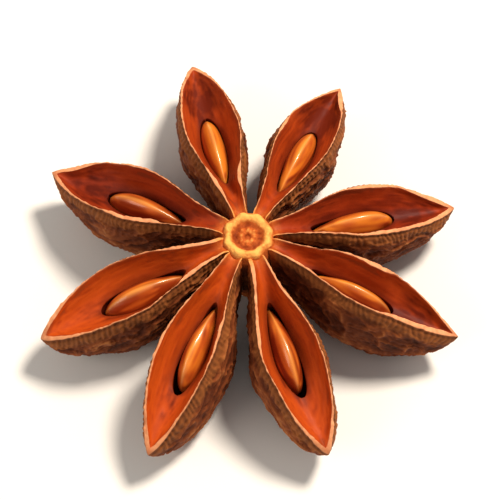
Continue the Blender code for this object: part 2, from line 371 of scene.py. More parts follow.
def rim_height(carpel, share):
    """Level from the column, then bending down to the beak, which may hook up at its end."""
    drop = (HUB_HEIGHT - TIP_HEIGHT) * share**RIM_DROP_POWER
    return HUB_HEIGHT - drop + carpel.hook * past(share, HOOK_START) ** 2


def keel_height(carpel, share):
    """Down from the stalk to the resting spot, then along a blunt bow up to the beak."""
    root = KEEL_ROOT_HEIGHT * (1.0 - smooth_step(share / LOWEST))
    turn, steepness = KEEL_RISE
    bow = 1.0 - (1.0 - past(share, LOWEST) ** turn) ** steepness
    return root - KEEL_WEAR + (rim_height(carpel, 1.0) + KEEL_WEAR) * bow


def turned(first, second, angle):
    """Two coordinates turned by an angle, from the first towards the second."""
    cosine, sine = np.cos(angle), np.sin(angle)
    return first * cosine - second * sine, first * sine + second * cosine


def placed(carpel, share, sideways, upwards):
    """Turns points of a carpel's sections into points of the pod: rolled, bowed and aimed."""
    roll = math.radians(carpel.roll) * smooth_step(share / ROLL_REACHED)
    aside, above = turned(sideways, upwards, -roll)
    aside = aside + carpel.bow * np.sin(math.pi * share)
    aimed = turned(share * carpel.length, aside, math.radians(carpel.direction))
    return np.stack((*aimed, rim_height(carpel, share) + above), axis=-1)


def outer_wall(carpel, number, share, across):
    """Sideways and upwards from the rims' level: a cubic curve from one rim (-1) round the keel
    (0) to the other (1), with the walls slightly lumpy."""
    half_width = rim_half_width(carpel, share)
    depth = rim_height(carpel, share) - keel_height(carpel, share)
    swell = BULGE * smooth_step(share / WIDEST) * (1.0 - (1.0 - BEAK_BULGE) * past(share, WIDEST))
    wall = half_width + swell * (1.0 - past(share, BULGE_END) ** 2)
    down = 1.0 - np.abs(across)
    width = cubic(half_width, wall, KEEL_BREADTH * wall, 0.0, down)
    fall = depth * cubic(0.0, WALL_SWELL_DEPTH, KEEL_ROUND_DEPTH, 1.0, down)
    lump = np.sin(TAU * LUMP_WAVES * share + LUMP_SLANT * across + number * GOLDEN_ANGLE)
    lump = LUMP * lump * np.sin(math.pi * share) * (1.0 - across**2)
    lump = lump * smooth_step(np.abs(across) / KEEL_JOIN)
    return np.sign(across) * (width + lump), -fall + 0.0 * across


def narrowing(along, taper):
    """Full width at the outer end, 1, and narrower by taper at the end by the column, -1."""
    return 1.0 - taper * (0.5 - 0.5 * along) ** 2


def seed_thickness(carpel):
    """A seed fills this much of the width between the solids' rims."""
    return SEED_FILL * (carpel.width - 2.0 * RIM_THICKNESS)


def pocket_span(carpel):
    """Half the length of a seed's pocket, and how far its middle lies past the seed's."""
    return 0.5 * (SEED_LENGTH + carpel.gap) + POCKET_REACH, 0.5 * carpel.gap + POCKET_SHIFT


def inner_wall(carpel, share, across, progress, rim_thickness):
    """Sideways and upwards from the rims' level, and how far a point lies from the pocket.

    A lip slopes along a cubic curve from one rim (1) to the edge of the seed's pocket, whose wall
    curves along another under the seed to its floor (0) and up to the other lip (-1).
    """
    outer_half = rim_half_width(carpel, share)
    end = np.sqrt(np.maximum(1.0 - progress**END_ROUNDING, 0.0))
    half_width = (outer_half - np.minimum(rim_thickness, THICKEST_RIM * outer_half)) * end
    opened = onset(share, *GROOVE_OPENING)
    groove = GROOVE_DEPTH * (GROOVE_ROOT + (1.0 - GROOVE_ROOT) * opened)
    groove = groove * (1.0 - past(share, GROOVE_DEEPEST) ** GROOVE_FADE) * end
    reach, shift = pocket_span(carpel)
    offset = (share - SEED_PLACE) * carpel.length - shift
    along = np.clip(offset / reach, -1.0, 1.0)
    groove = groove + GROOVE_DIP * (1.0 - along**2) ** 2
    oval = np.sqrt(1.0 - along**2) * narrowing(along, POCKET_TAPER)
    pocket_width = (0.5 * POCKET_FIT * seed_thickness(carpel) + POCKET_CLEARANCE) * oval
    pocket_width = np.minimum(pocket_width, MOST_POCKET * half_width)

    steps = np.linspace(1.0, 0.0, LIP_STEPS)
    edge = np.interp(
        pocket_width / np.maximum(half_width, TINY), cubic(*LIP_BREADTH, steps), steps
    )
    split = 1.0 - (1.0 - LIP_SHARE) * oval
    down = 1.0 - np.abs(across)
    lip = edge * np.clip(down / split, 0.0, 1.0)
    drop = np.clip((down - split) / np.maximum(1.0 - split, TINY), 0.0, 1.0)
    on_seed = np.clip((share - SEED_PLACE) * carpel.length / (0.5 * SEED_LENGTH), -1.0, 1.0)
    seed_oval = np.sqrt(1.0 - on_seed**2) * narrowing(on_seed, SEED_TAPER)
    bottom = SEED_SINK + POCKET_CLEARANCE + UNDER_SEED * (0.5 - 0.5 * along)
    bottom = bottom + 0.5 * SEED_HEIGHT * (1.0 + np.maximum(oval, seed_oval))
    steep = POCKET_END * smooth_step(1.0 + along)
    pocket_depth = (bottom - groove * cubic(*LIP_FALL, edge)) * oval**steep
    room = 0.5 * seed_thickness(carpel) * seed_oval + POCKET_CLEARANCE
    undercut = np.clip(room / np.maximum(pocket_width, TINY), 1.0, MOST_UNDERCUT)
    (upper, upper_fall), (lower, lower_fall) = POCKET_SLOPE
    width = np.where(
        drop > 0.0,
        pocket_width * cubic(1.0, upper * undercut, lower * undercut, 0.0, drop),
        half_width * cubic(*LIP_BREADTH, lip),
    )
    fall = groove * cubic(*LIP_FALL, lip)
    fall = fall + pocket_depth * cubic(0.0, upper_fall, lower_fall, 1.0, drop)
    beyond = np.maximum(np.abs(width) - pocket_width, 0.0)
    beyond = beyond + PAST_END_COUNTS * np.maximum(np.abs(offset) - reach, 0.0)
    return np.sign(across) * width, -fall, np.where(drop > 0.0, -drop, beyond)


def crowded(steps, crowding):
    """Steps moved closer together towards 1 and -1, part of the way to their sine."""
    return steps + crowding * (np.sin(0.5 * math.pi * steps) - steps)


def carpel_rows(carpel):
    """How far along a carpel each ring of points is: crowded towards the beak, then spread evenly
    over the running sum of one and a bell at each end of the pocket."""
    fine = np.linspace(0.0, 1.0, FINE_STEPS)
    progress = crowded(fine, BEAK_CROWDING)
    share = ROOT_START + (GROOVE_END - ROOT_START) * progress
    reach, shift = pocket_span(carpel)
    off = np.abs(share - SEED_PLACE - shift / carpel.length) - reach / carpel.length
    crowd = np.cumsum(1.0 + POCKET_ROWS * bell(off, POCKET_ROWS_REACH))
    crowd = (crowd - crowd[0]) / (crowd[-1] - crowd[0])
    return np.interp(np.linspace(0.0, 1.0, CARPEL_ROWS), crowd, progress)


def rim_points(along, side, number, steps):
    """Points for patterns along the rims, far apart for the two sides and for each carpel."""
    side_step, carpel_step = steps
    points = np.broadcast_arrays(along, side * side_step * MM, number * carpel_step * MM)
    return np.stack(points, -1)


def carpel_rings(carpel, number, sizes):
    """One carpel's sections as rings of points: its outside, over one rim, its inside, over the
    other rim. The rims are half-cosine arches from wall to wall, thicker where noise is high.

    Then, for each point: how far inside it is and how far from the rims, its side, and how near
    the seed's pocket it is.
    """
    progress = carpel_rows(carpel)[:, None]
    outer_across = crowded(np.linspace(-1.0, 1.0, OUTER_COLUMNS), OUTER_CROWDING)[None, :]
    inner_across = crowded(np.linspace(1.0, -1.0, INNER_COLUMNS), INNER_CROWDING)[None, :]
    outer_share = ROOT_START + (1.0 - ROOT_START) * progress
    inner_share = ROOT_START + (GROOVE_END - ROOT_START) * progress

    inner_along = inner_share * carpel.length
    spots = rim_points(inner_along, np.sign(inner_across), number, SWELL_STEPS)
    steepness, level = SWELL_ONSET
    swell = smooth_step(steepness * noise(spots, *RIM_SWELLS) - level)
    thinnest, thicker = RIM_RANGE
    rim_thickness = sizes.rim_thickness * (thinnest + thicker * swell)

    outer_side, outer_up = outer_wall(carpel, number, outer_share, outer_across)
    inner_side, inner_up, beyond = inner_wall(
        carpel, inner_share, inner_across, progress, rim_thickness
    )
    outer_rows = np.broadcast_to(outer_share, outer_side.shape)
    inner_rows = np.broadcast_to(inner_share, inner_side.shape)
    outer = np.stack((outer_rows, outer_side, outer_up), -1)
    inner = np.stack((inner_rows, inner_side, inner_up), -1)

    turn = (np.arange(RIM_COLUMNS) + 1.0) / (RIM_COLUMNS + 1.0)
    over = (0.5 - 0.5 * np.cos(math.pi * turn))[None, :, None]
    crown = RIM_CROWN * sizes.rim_thickness * np.sin(math.pi * turn)[None, :, None]
    crown = crown * np.array((0.0, 0.0, 1.0))
    right = outer[:, -1:] * (1.0 - over) + inner[:, :1] * over + crown
    left = inner[:, -1:] * (1.0 - over) + outer[:, :1] * over + crown
    rings = np.concatenate((outer, right, inner, left), axis=1)

    first, second = OUTER_COLUMNS, OUTER_COLUMNS + RIM_COLUMNS
    third = second + INNER_COLUMNS
    inside, from_rim, pocket = np.zeros((3, *rings.shape[:2]))
    inside[:, first:second] = over[..., 0]
    inside[:, second:third] = 1.0
    inside[:, third:] = 1.0 - over[..., 0]
    from_rim[:, :first] = np.hypot(np.abs(outer_side) - np.abs(outer_side[:, -1:]), outer_up)
    from_rim[:, second:third] = np.hypot(
        np.abs(inner_side) - np.abs(inner_side[:, :1]), inner_up
    )
    # The pocket mark is painted shade: full in the pocket under the seed, fading out past its
    # edge.
    strength, width = POCKET_EDGE
    pocket[:, second:third] = np.where(beyond < 0.0, 1.0, strength * bell(beyond, width))
    rim_side = np.ones((1, RIM_COLUMNS))
    side = (np.sign(outer_across), rim_side, np.sign(inner_across), -rim_side)
    return np.moveaxis(rings, -1, 0), inside, from_rim, np.concatenate(side, axis=1), pocket


def worn_rims(edge, from_rim, sideways, upwards):
    """The rims moved up and down and to the sides by a slow and a quick noise each, and nicked
    where a third noise is high. The move fades away from the rims like a bell."""
    near_rim = bell(from_rim, WEAR_REACH)
    wander = swing(edge, *SLOW_WANDER) + swing(edge, *QUICK_WANDER)
    steepness, level = NICK_ONSET
    nick = smooth_step(steepness * noise(edge, *NICKS) - level) * NICK_DEPTH
    sway = swing(edge, *SLOW_SWAY) + swing(edge, *QUICK_SWAY)
    free = np.minimum(1.0, np.abs(sideways) / SWAY_WIDTH)
    return sideways + sway * MM * near_rim * free, upwards + (wander - nick) * MM * near_rim


def husk_relief(flat, along, from_rim, sizes):
    """Heights of the outside in mm, and the band of cross-ridges.

    A net of coarse and fine wrinkles on broad lumps starts below the rim. Pits are all over, a
    sine wave makes the cross-ridges of the band, and a bell sinks the ledge above them.
    """
    meander = warped(flat, *MEANDER)
    relief = onset(from_rim, *WRINKLE_START) * (
        sizes.wrinkle_height / MM * (ridges(meander, *WRINKLES) - WRINKLE_LEVEL)
        + FINE_HEIGHT * (ridges(meander, *FINE_WRINKLES) - FINE_LEVEL)
        + swing(flat, *LUMPS)
    )
    band = smooth_step(from_rim / BAND_START) * (1.0 - onset(from_rim, *BAND_END))
    phase = along / sizes.ridge_spacing + RIDGE_SHIFT * noise(flat, *RIDGE_WAVER)
    cross_ridges = (0.5 + 0.5 * np.sin(TAU * phase)) ** RIDGE_NARROWNESS
    relief = relief + swing(flat, *PITS) + band * RIDGE_HEIGHT * (cross_ridges - 0.5)
    place, width = LEDGE
    return relief - LEDGE_DEPTH * bell(from_rim - place, width), band


def carpel_piece(carpel, number, sizes):
    """One carpel: its rings of points placed in the pod, then moved along their normals by the
    relief of the outside, the grain of the inside and the chips of the rims."""
    (share, sideways, upwards), inside, from_rim, side, pocket = carpel_rings(
        carpel, number, sizes
    )
    outside = 1.0 - inside
    blank = np.zeros(share.shape)
    along = share * carpel.length
    flat = np.stack((along, sideways, upwards), -1) + number * np.array(HUSK_STEPS) * MM
    edge = rim_points(along, side, number, EDGE_STEPS)
    sideways, upwards = worn_rims(edge, from_rim, sideways, upwards)
    upwards = upwards - ROOT_SINK * (1.0 - onset(along, *ROOT_RISES))
    grid = placed(carpel, share, sideways, upwards)

    relief, band = husk_relief(flat, along, from_rim, sizes)
    grain, mottle = swing(flat, *GRAIN), swing(flat, *MOTTLE)
    grain_height, soft_height, mottle_height = LINING_HEIGHTS
    lining = soft_height * swing(flat, *SOFT_SWELLS) + mottle_height * mottle
    lining = grain_height * grain + lining * smooth_step(from_rim / LINING_START)
    chips = ridges(flat, *CHIPS) * bell(from_rim, CHIP_REACH)
    full = np.minimum(1.0, rim_half_width(carpel, share) / FULL_RELIEF_WIDTH)
    height = (outside * relief + inside * lining - CHIP_DEPTH * chips) * full
    grid = grid + grid_normals(grid) * (height * MM)[..., None]
    grid[..., 2] = np.maximum(grid[..., 2], 0.0)
    # The last ring is a seam: its two halves meet on one line, which closes the beak.
    other_side = np.roll(grid[-1, ::-1], OUTER_COLUMNS, axis=0)
    grid[-1] = 0.5 * (grid[-1] + other_side)

    plain, stained, torn = RIM_STAINS
    rim = plain + stained * noise(edge, *STAINS) + torn * noise(flat, *TEARS)
    paling, pale_start = BEAK_PALES
    rim = bell(from_rim, RIM_LINE) * rim * (1.0 - paling * past(share, pale_start))
    grain_shows, mottle_shows = GRAIN_SHOWS
    ring, rim_ring, ring_width = ROOT_RING
    # Painted shade that darkens the lining of some carpels towards the beak.
    gloom = carpel.gloom * onset(share, *GLOOM_START)
    attributes = {
        "inside": inside,
        "rim": rim,
        "grain": np.clip(0.5 + grain_shows * grain + mottle_shows * mottle, 0.0, 1.0),
        "ring": ring + rim_ring * bell(from_rim, ring_width),
        "pocket": pocket,
        # Depth below the rim, with the painted shade towards the beak added, for the lining's
        # painted shade.
        "fall": np.clip(from_rim / DEEPEST + gloom, 0.0, 1.0),
        # The outside's relief also sets its colour, as painted shade in the hollows.
        "relief": np.clip(0.5 + outside * relief * RELIEF_SHOWS, 0.0, 1.0),
        "stitch": band * outside,
        "hub": 1.0 - onset(along, *HUB_END),
        # How much painted light the lining gets, from its shaded copy at 0 to its bright copy at
        # 1.
        "tone": blank + carpel.tone,
    }
    return closed_mesh(f"carpel_{number}", grid, attributes)


# Column: radius and height in mm, and paleness, from its dimple down its side.
COLUMN_PATH = (
    (0.0, 8.6, 0.0),
    (0.14, 8.64, 0.05),
    (0.28, 8.92, 0.4),
    (0.5, 9.02, 0.6),
    (0.72, 8.96, 0.42),
    (0.92, 8.86, 0.12),
    (1.12, 8.95, 0.3),
    (1.35, 9.24, 0.85),
    (1.58, 9.36, 1.0),
    (1.78, 9.26, 0.85),
    (1.98, 8.95, 0.45),
    (2.12, 8.4, 0.2),
    (2.25, 7.6, 0.0),
    (2.35, 6.6, 0.0),
    (2.35, 5.4, 0.0),
    (2.35, 4.2, 0.0),
    (2.1, 3.2, 0.05),
    (1.7, 2.3, 0.2),
    (1.42, 1.5, 0.35),
    (1.3, 0.8, 0.45),
    (1.28, 0.25, 0.5),
    (1.15, 0.0, 0.8),
    (0.6, 0.06, 0.9),
    (0.0, 0.1, 0.85),
)


def smooth_path(points, count):
    """A curve through the points, each span a Catmull-Rom cubic, at count even steps."""
    knots = np.asarray(points, float)
    padded = np.concatenate((2 * knots[:1] - knots[1:2], knots, 2 * knots[-1:] - knots[-2:-1]))
    place = np.linspace(0.0, len(knots) - 1.0, count)
    span = np.minimum(place.astype(int), len(knots) - 2)
    t = (place - span)[:, None]
    before, start, end, after = (padded[span + step] for step in range(4))
    straight = 2.0 * start + (end - before) * t
    bend = (2.0 * before - 5.0 * start + 4.0 * end - after) * t**2
    twist = (3.0 * start - before - 3.0 * end + after) * t**3
    return 0.5 * (straight + bend + twist)


# Patterns on the column, in mm, as on a carpel.
COARSE_ROUGH = (0.7, 50, 0.18)
FINE_ROUGH = (0.24, 51, 0.12)
RIBS = ((0.6, 0.6, 2.4), 52, 2.0)
FINE_RIBS = ((0.3, 0.3, 1.2), 53, 1.5)
BREAK = (0.35, 54)

# Forms of the column in mm: the ring's middle and width, how wide and long its lobes are, the
# folds in the dimple, and where the top, the ribbed side and the broken end start.
LOBE_WIDTH = 0.2
LOBE_REACH = 0.11
LOBE_HEIGHT = 0.1
LOBE_LEVEL = 0.45
RING = (1.55, 0.45)
RING_BASE = 8.0
FOLD_TURN = 0.7
FOLDS = (0.7, 0.3)
FOLD_HEIGHT = 0.06
TOP_BASE = 7.5
SIDE_ROUGHNESS = 0.3
SIDE_TOP = (9.0, 0.8)
RIB_HEIGHT = 0.14
RIB_LEVEL = 0.6
RIB_BASE = 0.12
END_TOP = 0.15
END_RADIUS = 1.3
FOOT_TOP = 0.3
BREAK_HEIGHT = 0.22
HUB_BASE = (7.8, 0.8)
PALE_FOOT = (0.4, 2.0)
RING_SHOWS = (0.3, 2.0)
COLUMN_RELIEF = (3.0, 0.3)


def column_piece():
    """The column as rings of points: a profile turned round the axis, its ring drawn out into a
    lobe towards each carpel, its sides wrinkled and the stalk's end broken.

    A lobe is a bell of the angle from its carpel, the folds in the dimple are a cosine of eight
    turns, and noise and ridges do the rest.
    """
    path = smooth_path(COLUMN_PATH, COLUMN_ROWS)
    radius, height, pale = (path[:, part, None] for part in range(3))
    radius = np.maximum(radius, 0.0)
    radius[[0, -1]] = 0.0
    angle = np.linspace(0.0, TAU, COLUMN_COLUMNS, endpoint=False)[None, :]
    lobes = 0.0 * angle
    for carpel in CARPELS:
        off = np.angle(np.exp(1j * (angle - math.radians(carpel.direction))))
        lobes = lobes + bell(off, LOBE_WIDTH)
    ring_radius, ring_width = RING
    on_ring = bell(radius - ring_radius, ring_width) * (height > RING_BASE)
    spread = 1.0 + LOBE_REACH * (lobes - LOBE_LEVEL) * on_ring
    spot = np.broadcast_arrays(radius * np.cos(angle), radius * np.sin(angle), height)
    spot = np.stack(spot, -1)

    top = height > TOP_BASE
    rough = swing(spot, *COARSE_ROUGH) + swing(spot, *FINE_ROUGH)
    fold_radius, fold_width = FOLDS
    folds = np.cos(len(CARPELS) * angle + FOLD_TURN) * bell(radius - fold_radius, fold_width)
    rise = rough * np.where(top, 1.0, SIDE_ROUGHNESS)
    rise = rise + LOBE_HEIGHT * (lobes - 0.5) * on_ring + FOLD_HEIGHT * folds * top
    rib = ridges(spot, *RIBS) + 0.5 * ridges(spot, *FINE_RIBS) - RIB_LEVEL
    side_top, side_fade = SIDE_TOP
    side = smooth_step((side_top - height) / side_fade)
    ribbed = (RIB_HEIGHT * rib) * side * (height > RIB_BASE) * smooth_step(radius)
    grown = radius * spread + ribbed
    broken = (height < END_TOP) * smooth_step(1.0 - radius / END_RADIUS)
    lifted = height + rise * (height > FOOT_TOP) + BREAK_HEIGHT * broken * noise(spot, *BREAK)
    grid = (grown * np.cos(angle), grown * np.sin(angle), np.maximum(lifted, 0.0))
    grid = np.stack(grid, -1)
    grid[0] = grid[0].mean(axis=0)
    grid[-1] = grid[-1].mean(axis=0)

    lobes_show, rough_shows = RING_SHOWS
    ring = pale + lobes_show * (lobes - 0.5) * on_ring + rough_shows * rough
    rough_shows, ribs_show = COLUMN_RELIEF
    relief = 0.5 + rough_shows * rough + ribs_show * rib * side
    attributes = dict.fromkeys(HUSK_MASKS, 0.0)
    attributes["hub"] = onset(height, *HUB_BASE) + (1.0 - onset(height, *PALE_FOOT))
    attributes["ring"] = np.clip(ring, 0.0, 1.0)[:, ::-1]
    attributes["relief"] = np.clip(relief, 0.0, 1.0)[:, ::-1]
    return closed_mesh("column", grid[:, ::-1] * MM, attributes)


# Patterns on a seed, as on a carpel.
SEED_DENTS = ((2.6 * MM, 1.3 * MM, 1.3 * MM), 60, 0.1)
SEED_GRAIN = ((2.0 * MM, 0.24 * MM, 0.24 * MM), 61, 0.03)
# Patches of the keel's painted highlight.
KEEL_PATCHES = (1.4 * MM, 62)
STREAKS = ((2.4 * MM, 0.28 * MM, 0.28 * MM), 63)

# Forms of a seed: its keel, its scar and the ring round that, and its usual half thickness.
SEED_KEEL_WIDTH = 0.22
SEED_KEEL_HEIGHT = 0.07 * MM
# How strongly the painted highlight along the keel shows, at least and more in patches.
SEED_KEEL_SHOWS = (0.7, 0.6)
SCAR_HEIGHT = 0.12 * MM
SCAR_WIDTH = 0.02
SCAR_RING = (0.6, 0.96, 0.015)
SEED_RADIUS = 1.2 * MM


def seed_piece(carpel, number):
    """One seed as rings of points from its narrow end to its blunt one: a flattened ball with a
    low keel along its upper edge and a small sunken scar at the narrow end.

    It is tipped as the rims are at its two ends, rolled and aimed like its carpel.
    """
    turn = np.linspace(-0.5 * math.pi, 0.5 * math.pi, SEED_ROWS)[:, None]
    angle = np.linspace(0.0, TAU, SEED_COLUMNS, endpoint=False)[None, :]
    along, breadth = np.sin(turn), np.cos(turn)
    size = narrowing(along, SEED_TAPER) * breadth
    aside = 0.5 * seed_thickness(carpel) * size * np.cos(angle)
    up = 0.5 * SEED_HEIGHT * size * np.sin(angle)
    keel = bell(angle - 0.5 * math.pi, SEED_KEEL_WIDTH) * breadth
    up = up + SEED_KEEL_HEIGHT * keel
    length = 0.5 * SEED_LENGTH * (along + 0.0 * angle)
    spot = np.stack((length, aside, up), -1) + number * SEED_STEP * MM
    dents = swing(spot, *SEED_DENTS) * MM + swing(spot, *SEED_GRAIN) * MM
    ring_depth, ring_place, ring_width = SCAR_RING
    scar = bell(along + 1.0, SCAR_WIDTH) - ring_depth * bell(along + ring_place, ring_width)
    length = length + SCAR_HEIGHT * scar
    swell = 1.0 + dents / SEED_RADIUS * breadth
    aside, up = aside * swell, up * swell

    half_span = 0.5 * SEED_LENGTH / carpel.length
    ends = np.array((SEED_PLACE - half_span, SEED_PLACE + half_span))
    tip = math.atan2(-np.diff(rim_height(carpel, ends))[0], SEED_LENGTH)
    outward, above = turned(length, up, -tip)
    sideways, above = turned(aside, above, -math.radians(carpel.roll))
    aimed = turned(outward, sideways, math.radians(carpel.direction))
    sunk = -(SEED_SINK + 0.5 * SEED_HEIGHT)
    middle = placed(carpel, np.array(SEED_PLACE), np.array(0.0), np.array(sunk))
    least, varies = SEED_KEEL_SHOWS
    attributes = {
        # Painted highlight along the keel; painted light above and painted shade below.
        "ridge": keel * (least + varies * noise(spot, *KEEL_PATCHES)),
        "high": np.clip(0.5 + 0.5 * np.sin(angle) * breadth, 0.0, 1.0),
        "streak": noise(spot, *STREAKS),
        "tone": carpel.seed,
    }
    grid = middle + np.stack((*aimed, above), -1)
    return closed_mesh(f"seed_{number}_coat", grid, attributes)


def linear(hex_code):
    """An sRGB hex colour as linear RGBA."""
    channels = (int(hex_code[place : place + 2], 16) / 255 for place in (0, 2, 4))
    values = [c / 12.92 if c <= 0.04045 else ((c + 0.055) / 1.055) ** 2.4 for c in channels]
    return (*values, 1.0)


def fill(tree, node, inputs):
    """Sets a node's inputs, by socket, to values or to other nodes' outputs."""
    for socket, value in inputs.items():
        if isinstance(value, bpy.types.NodeSocket):
            tree.links.new(value, node.inputs[socket])
        else:
            node.inputs[socket].default_value = value


def add_node(tree, kind, inputs=(), output=0, **settings):
    """Adds a node and gives one of its outputs. Inputs are values or other nodes' outputs, in the
    order of the sockets or by socket. Settings are the node's own."""
    node = tree.nodes.new("ShaderNode" + kind)
    for name, value in settings.items():
        if name == "stops":
            elements = node.color_ramp.elements
            for spare in list(elements)[1:]:
                elements.remove(spare)
            for number, (place, colour) in enumerate(value):
                stop = elements[0] if number == 0 else elements.new(place)
                stop.position, stop.color = place, colour
        else:
            setattr(node, name, value)
    fill(tree, node, inputs if isinstance(inputs, dict) else dict(enumerate(inputs)))
    return node.outputs[output]


def new_material(name, labels=(), noises=()):
    """A material, add_node for its own tree, and the outputs of its masks and of its noises,
    which lie on Object coordinates with spots of these sizes."""
    material = bpy.data.materials.new(name)
    material.use_nodes = True
    add = partial(add_node, material.node_tree)
    place = add("TexCoord", output="Object") if noises else None
    masks = [add("Attribute", output="Fac", attribute_name=label) for label in labels]
    spots = [
        add("TexNoise", {"Vector": place, "Scale": 1.0 / size, "Detail": detail})
        for size, detail in noises
    ]
    return material, add, masks, spots


def finished(material, inputs):
    """The material, with its shader's inputs set."""
    tree = material.node_tree
    fill(tree, tree.nodes["Principled BSDF"], inputs)
    return material


# A Mix node that mixes colours: its settings, and the sockets of its first and second colour.
# Math nodes: a first input times a second plus a third, and a sum and a product from 0 to 1.
COLOURS = {"output": 2, "data_type": "RGBA"}
FIRST, SECOND = 6, 7
SCALED = {"operation": "MULTIPLY_ADD"}
SUM = {"operation": "ADD", "use_clamp": True}
PRODUCT = {"operation": "MULTIPLY", "use_clamp": True}

# Noise in the materials: the size of its spots, and its detail.
HUSK_NOISE = ((1.6 * MM, 3), (0.22 * MM, 4), (0.5 * MM, 4), (0.45 * MM, 3), (0.12 * MM, 5))
SEED_NOISE = ((1.1 * MM, 3), (0.3 * MM, 2))

# Where each part of a shaded and a bright lining lies on the way from the rim down.
LINING = {
    "shaded": {"edge": 0.0, "lip": 0.06, "wall": 0.25, "groove": 0.5, "floor": 0.8},
    "bright": {"edge": 0.0, "lip": 0.06, "wall": 0.25, "groove": 0.5, "floor": 0.85},
}

# How strongly each pattern and mask shows, and what is then added to it.
# The relief and pocket tones set painted shade, the high tone a seed's painted light and shade,
# and the keel tone its painted highlight along the keel.
RELIEF_TONE = 0.75
BLOTCH_TONE = (0.5, -0.13)
GRIT_TONE = (0.3, -0.15)
STITCH_TONE = 0.85
STREAK_TONE = (0.3, -0.15)
GRAIN_TONE = (0.45, -0.22)
POCKET_TONE = 0.8
WORN_TONE = (0.5, -0.25)
COLUMN_GRIT_TONE = (0.7, -0.35)
HUB_TONE = 0.9
HIGH_TONE = 0.7
SEED_BLOTCH_TONE = (0.3, -0.15)
SEED_STREAK_TONE = (1.1, -0.55)
KEEL_TONE = 0.55

# Husk: by how much the lining is smoother, then the matt outside; the rims are rougher still.
LINING_ROUGHNESS = (-0.22, 0.76)
RIM_ROUGHNESS = 0.2
LINING_BUMP = (-0.3, 0.42)
HUSK_BUMP = 0.06 * MM


def husk_material(colours):
    """Dried woody fruit wall: matt and wrinkled outside, pale where the rims have split, smooth
    and slightly polished inside. Painted shade darkens the outside's hollows, the lining's edge
    and floor and round the seeds, and the lining comes in a lit and a shaded copy."""
    material, add, masks, spots = new_material("dried_pericarp", HUSK_MASKS, HUSK_NOISE)
    inside, rim, fall, relief, stitch, tone, hub, pocket, grain, ring = masks
    blotch, grit, streak, worn, fine = spots

    # Outside: painted shade in the hollows, lighter up to the rubbed wrinkles, with a warm band.
    uneven = add("Math", (blotch, *BLOTCH_TONE), **SCALED)
    level = add("Math", (relief, RELIEF_TONE, uneven), **SCALED)
    gritty = add("Math", (grit, *GRIT_TONE), **SCALED)
    level = add("Math", (level, gritty), **SUM)
    stops = (
        (0.12, colours.crease_shade),
        (0.45, colours.husk),
        (0.72, colours.husk_light),
        (0.95, colours.dust),
    )
    outside = add("ValToRGB", (level,), stops=stops)
    stitched = add("Math", (relief, STITCH_TONE), operation="MULTIPLY")
    stitched = add("Math", (stitch, stitched), **PRODUCT)
    outside = add("Mix", {0: stitched, FIRST: outside, SECOND: colours.stitch}, **COLOURS)

    # Lining: from the rim down to the floor, between a shaded and a bright copy, as painted light;
    # both are painted darker at the rim's edge and at the floor, as painted shade.
    streaky = add("Math", (streak, *STREAK_TONE), **SCALED)
    shade = add("Math", (fall, streaky), **SUM)
    grainy = add("Math", (grain, *GRAIN_TONE), **SCALED)
    shade = add("Math", (shade, grainy), **SUM)
    shaded, bright = (
        [(place, getattr(colours, f"{light}_{part}")) for part, place in parts.items()]
        for light, parts in LINING.items()
    )
    shaded = add("ValToRGB", (shade,), stops=shaded)
    bright = add("ValToRGB", (shade,), stops=bright)
    lining = add("Mix", {0: tone, FIRST: shaded, SECOND: bright}, **COLOURS)
    # Painted shade round and under the seeds.
    pocket_shade = add("Math", (pocket, POCKET_TONE), operation="MULTIPLY")
    lining = add("Mix", {0: pocket_shade, FIRST: lining, SECOND: colours.pocket}, **COLOURS)
    body = add("Mix", {0: inside, FIRST: outside, SECOND: lining}, **COLOURS)

    # Rims: pale split wood, unevenly worn.
    edge = add("Mix", {0: worn, FIRST: colours.rim_shade, SECOND: colours.rim}, **COLOURS)
    share = add("Math", (worn, *WORN_TONE), **SCALED)
    share = add("Math", (rim, share), operation="MULTIPLY")
    share = add("Math", (rim, share), **SUM)
    colour = add("Mix", {0: share, FIRST: body, SECOND: edge}, **COLOURS)

    # Column: a pale ring round a darker dimple, and a pale broken foot.
    gritty = add("Math", (grit, *COLUMN_GRIT_TONE), **SCALED)
    paleness = add("Math", (ring, gritty), **SUM)
    stops = ((0.0, colours.hub_shade), (0.45, colours.hub), (0.95, colours.hub_light))
    top = add("ValToRGB", (paleness,), stops=stops)
    share = add("Math", (hub, HUB_TONE), **PRODUCT)
    colour = add("Mix", {0: share, FIRST: colour, SECOND: top}, **COLOURS)

    rough = add("Math", (inside, *LINING_ROUGHNESS), **SCALED)
    rough = add("Math", (rim, RIM_ROUGHNESS, rough), use_clamp=True, **SCALED)
    strength = add("Math", (inside, *LINING_BUMP), **SCALED)
    bump = add("Bump", {"Strength": strength, "Distance": HUSK_BUMP, "Height": fine})
    inputs = {
        "Base Color": colour,
        "Roughness": rough,
        "Normal": bump,
        "IOR": 1.4,
        "Specular IOR Level": 0.2,
    }
    return finished(material, inputs)


